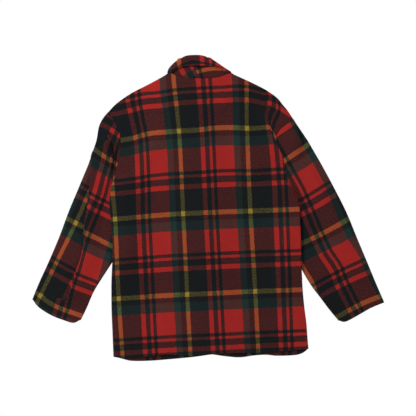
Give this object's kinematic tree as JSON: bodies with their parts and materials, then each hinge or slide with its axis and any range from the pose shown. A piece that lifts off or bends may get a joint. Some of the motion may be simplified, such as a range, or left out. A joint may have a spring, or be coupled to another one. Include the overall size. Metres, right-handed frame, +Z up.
{
  "type": "plaid wool jacket laid flat, back up",
  "caption": "Plaid wool jacket with a turned-down collar and set-in sleeves, laid flat on its front with the back up.",
  "frame": {"origin": "middle of the outline seen from above, at the height of the surface that the jacket lies on", "axes": "+Z up from the surface and out of the jacket's back, +Y towards the collar, +X towards the wearer's right sleeve"},
  "size_m": [0.9478, 0.8206, 0.0244],
  "materials": {
    "plaid_wool": "matte fulled wool in a red, black, green and yellow check",
    "button_plastic": "dark satin"
  },
  "bodies": {
    "root": {"back": "plaid_wool", "front_left": "plaid_wool", "front_right": "plaid_wool", "sleeve_left": "plaid_wool", "sleeve_right": "plaid_wool", "top_collar": "plaid_wool", "under_collar_left": "plaid_wool", "under_collar_right": "plaid_wool", "button_1": "button_plastic", "button_2": "button_plastic", "button_3": "button_plastic", "button_4": "button_plastic"}
  },
  "joints": []
}
